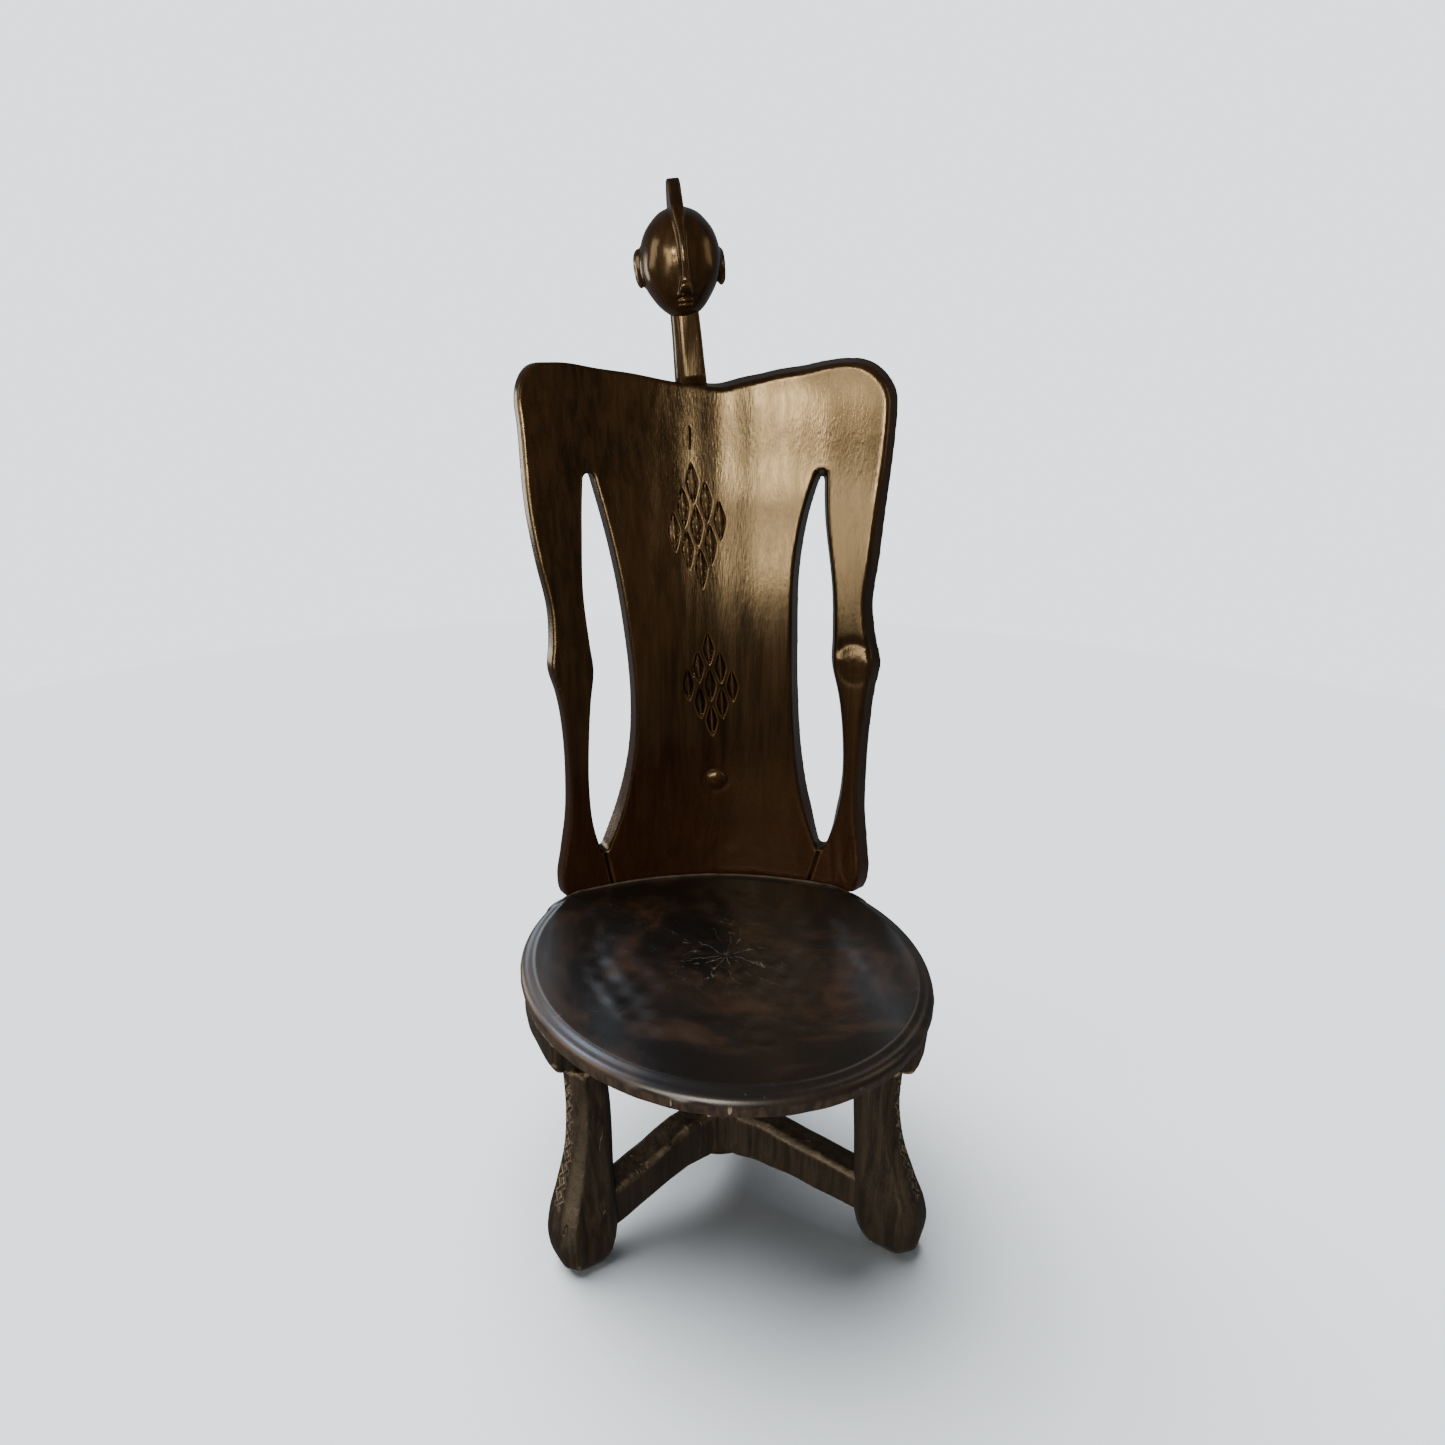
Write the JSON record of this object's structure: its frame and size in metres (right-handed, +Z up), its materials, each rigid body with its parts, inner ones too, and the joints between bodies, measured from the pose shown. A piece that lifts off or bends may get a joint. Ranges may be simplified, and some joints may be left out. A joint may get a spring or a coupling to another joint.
{
  "type": "high-backed figural stool",
  "caption": "Carved wooden high-backed stool: dished round seat on three stretchered legs, with a dished back shaped as shoulders, arms and a crested head.",
  "frame": {"origin": "centre of the object's bounding box, at floor level under the feet", "axes": "+Z up from the floor to the crest, +X to the right of someone who looks at the front of the back, +Y to the rear, so a sitter faces -Y"},
  "size_m": [0.4352, 0.4726, 1.0718],
  "materials": {
    "polished_wood": "polished dark brown hardwood with fine upright grain and warm highlights",
    "seat_wood": "near black seat, worn and waxed to a gloss, with radial cracks round the heart of the log",
    "leg_wood": "dry grey-brown adzed wood, matt, with worn edges and fine cracks"
  },
  "bodies": {
    "root": {"seat": "seat_wood", "shoulders": "polished_wood", "torso": "polished_wood", "navel_boss": "polished_wood", "left_upper_arm": "polished_wood", "left_elbow": "polished_wood", "left_forearm": "polished_wood", "left_hand": "polished_wood", "right_upper_arm": "polished_wood", "right_elbow": "polished_wood", "right_forearm": "polished_wood", "right_hand": "polished_wood", "neck": "polished_wood", "head": "polished_wood", "crest": "polished_wood", "left_ear": "polished_wood", "right_ear": "polished_wood", "left_front_block": "leg_wood", "right_front_block": "leg_wood", "rear_block": "leg_wood", "left_front_leg": "leg_wood", "right_front_leg": "leg_wood", "rear_leg": "leg_wood", "left_front_stretcher": "leg_wood", "right_front_stretcher": "leg_wood", "rear_stretcher": "leg_wood", "stretcher_hub": "leg_wood"}
  },
  "joints": []
}
